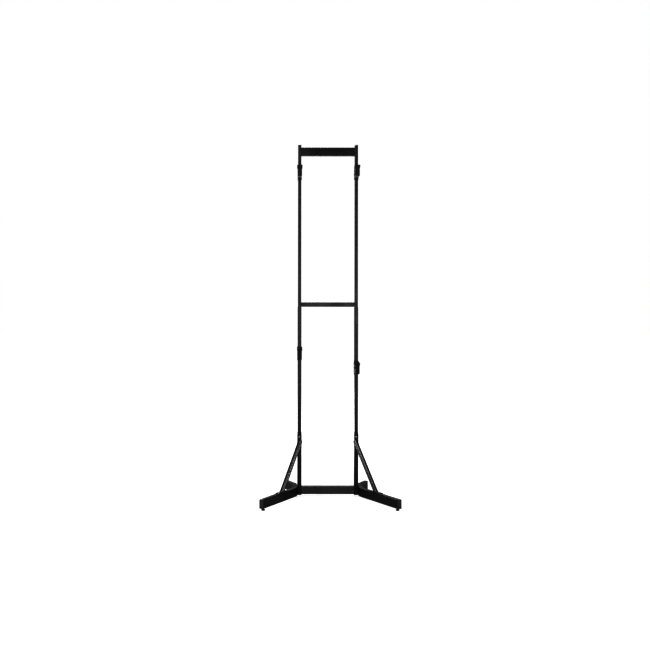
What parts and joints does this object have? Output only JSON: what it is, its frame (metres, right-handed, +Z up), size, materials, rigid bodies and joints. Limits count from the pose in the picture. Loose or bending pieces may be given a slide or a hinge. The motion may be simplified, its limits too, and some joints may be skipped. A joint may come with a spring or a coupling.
{
  "type": "two tier bike rack",
  "caption": "Free-standing ladder rack of nested black tube on splayed feet, with sliding arms whose cradles hold bicycles one above the other.",
  "frame": {"origin": "on the floor, under the middle of the bounding box", "axes": "+Z up along the uprights, +X to the right seen from the side the bicycles hang on, -Y to that side"},
  "size_m": [0.7656, 0.5664, 2.025],
  "materials": {
    "frame_paint": "satin black powder coat",
    "header_paint": "satin black powder coat on sheet",
    "arm_steel": "satin black",
    "cap_plastic": "fine matt grain",
    "cradle_plastic": "moulded, fine grain",
    "cradle_rubber": "soft matt",
    "knob_plastic": "moulded, satin",
    "tip_plastic": "plain",
    "glide_steel": "black zinc plate",
    "zinc": "zinc plate",
    "black_fastener": "black zinc"
  },
  "bodies": {
    "frame": {"left_base_post": "frame_paint", "right_base_post": "frame_paint", "left_foot": "frame_paint", "right_foot": "frame_paint", "foot_end_caps": "cap_plastic", "base_crossbar": "frame_paint", "base_corner_brackets": "frame_paint", "base_crossbar_bolts": "black_fastener", "base_crossbar_nuts": "zinc", "foot_bolts": "black_fastener", "foot_weld_nuts": "zinc", "left_lower_upright": "frame_paint", "right_lower_upright": "frame_paint", "left_upper_upright": "frame_paint", "right_upper_upright": "frame_paint", "left_brace": "frame_paint", "right_brace": "frame_paint", "brace_bolts": "zinc", "brace_weld_nuts": "zinc", "mid_crossbar": "frame_paint", "mid_crossbar_screws": "black_fastener", "header_plate": "header_paint", "header_screws": "black_fastener", "splice_screws": "black_fastener", "thread_inserts": "zinc", "upright_caps": "cap_plastic", "glide_weld_nuts": "zinc"},
    "front_left_glide": {"front_left_glide": "glide_steel"},
    "front_right_glide": {"front_right_glide": "glide_steel"},
    "rear_left_glide": {"rear_left_glide": "glide_steel"},
    "rear_right_glide": {"rear_right_glide": "glide_steel"},
    "upper_left_carrier": {"upper_left_sleeve": "frame_paint", "upper_left_arm_rod": "arm_steel", "upper_left_arm_end_screw": "black_fastener", "upper_left_clamp_tip": "tip_plastic"},
    "upper_left_clamp": {"upper_left_clamp_screw": "knob_plastic"},
    "upper_left_cradle": {"upper_left_cradle_block": "cradle_plastic", "upper_left_cradle_boot": "cradle_rubber"},
    "upper_right_carrier": {"upper_right_sleeve": "frame_paint", "upper_right_arm_rod": "arm_steel", "upper_right_arm_end_screw": "black_fastener", "upper_right_clamp_tip": "tip_plastic"},
    "upper_right_clamp": {"upper_right_clamp_screw": "knob_plastic"},
    "upper_right_cradle": {"upper_right_cradle_block": "cradle_plastic", "upper_right_cradle_boot": "cradle_rubber"},
    "lower_left_carrier": {"lower_left_sleeve": "frame_paint", "lower_left_arm_rod": "arm_steel", "lower_left_arm_end_screw": "black_fastener", "lower_left_clamp_tip": "tip_plastic"},
    "lower_left_clamp": {"lower_left_clamp_screw": "knob_plastic"},
    "lower_left_cradle": {"lower_left_cradle_block": "cradle_plastic", "lower_left_cradle_boot": "cradle_rubber"},
    "lower_right_carrier": {"lower_right_sleeve": "frame_paint", "lower_right_arm_rod": "arm_steel", "lower_right_arm_end_screw": "black_fastener", "lower_right_clamp_tip": "tip_plastic"},
    "lower_right_clamp": {"lower_right_clamp_screw": "knob_plastic"},
    "lower_right_cradle": {"lower_right_cradle_block": "cradle_plastic", "lower_right_cradle_boot": "cradle_rubber"}
  },
  "joints": [
    {"name": "front_left_level", "type": "slide", "parent": "frame", "child": "front_left_glide", "axis": [0, 0, 1], "range_m": [-0.01, 0.004]},
    {"name": "front_right_level", "type": "slide", "parent": "frame", "child": "front_right_glide", "axis": [0, 0, 1], "range_m": [-0.01, 0.004]},
    {"name": "rear_left_level", "type": "slide", "parent": "frame", "child": "rear_left_glide", "axis": [0, 0, 1], "range_m": [-0.01, 0.004]},
    {"name": "rear_right_level", "type": "slide", "parent": "frame", "child": "rear_right_glide", "axis": [0, 0, 1], "range_m": [-0.01, 0.004]},
    {"name": "upper_left_height", "type": "slide", "parent": "frame", "child": "upper_left_carrier", "axis": [0, 0, 1], "range_m": [-0.7035, 0.058]},
    {"name": "upper_left_swivel", "type": "hinge", "parent": "upper_left_carrier", "child": "upper_left_cradle", "pos_m": [-0.163, 0.04123, 1.846], "axis": [0, 1, 0], "range_deg": [-20, 20]},
    {"name": "upper_left_clamp_turn", "type": "hinge", "parent": "upper_left_carrier", "child": "upper_left_clamp", "pos_m": [-0.163, 0.13153, 1.863], "axis": [0, 1, 0], "range_deg": [0, 540]},
    {"name": "upper_right_height", "type": "slide", "parent": "frame", "child": "upper_right_carrier", "axis": [0, 0, 1], "range_m": [-0.7035, 0.058]},
    {"name": "upper_right_swivel", "type": "hinge", "parent": "upper_right_carrier", "child": "upper_right_cradle", "pos_m": [0.163, 0.04123, 1.846], "axis": [0, 1, 0], "range_deg": [-20, 20]},
    {"name": "upper_right_clamp_turn", "type": "hinge", "parent": "upper_right_carrier", "child": "upper_right_clamp", "pos_m": [0.163, 0.13153, 1.863], "axis": [0, 1, 0], "range_deg": [0, 540]},
    {"name": "lower_left_height", "type": "slide", "parent": "frame", "child": "lower_left_carrier", "axis": [0, 0, 1], "range_m": [-0.415, 0.14825]},
    {"name": "lower_left_swivel", "type": "hinge", "parent": "lower_left_carrier", "child": "lower_left_cradle", "pos_m": [-0.163, 0.03973, 0.81], "axis": [0, 1, 0], "range_deg": [-20, 20]},
    {"name": "lower_left_clamp_turn", "type": "hinge", "parent": "lower_left_carrier", "child": "lower_left_clamp", "pos_m": [-0.163, 0.13303, 0.827], "axis": [0, 1, 0], "range_deg": [0, 540]},
    {"name": "lower_right_height", "type": "slide", "parent": "frame", "child": "lower_right_carrier", "axis": [0, 0, 1], "range_m": [-0.332, 0.23125]},
    {"name": "lower_right_swivel", "type": "hinge", "parent": "lower_right_carrier", "child": "lower_right_cradle", "pos_m": [0.163, 0.03973, 0.727], "axis": [0, 1, 0], "range_deg": [-20, 20]},
    {"name": "lower_right_clamp_turn", "type": "hinge", "parent": "lower_right_carrier", "child": "lower_right_clamp", "pos_m": [0.163, 0.13303, 0.744], "axis": [0, 1, 0], "range_deg": [0, 540]}
  ]
}
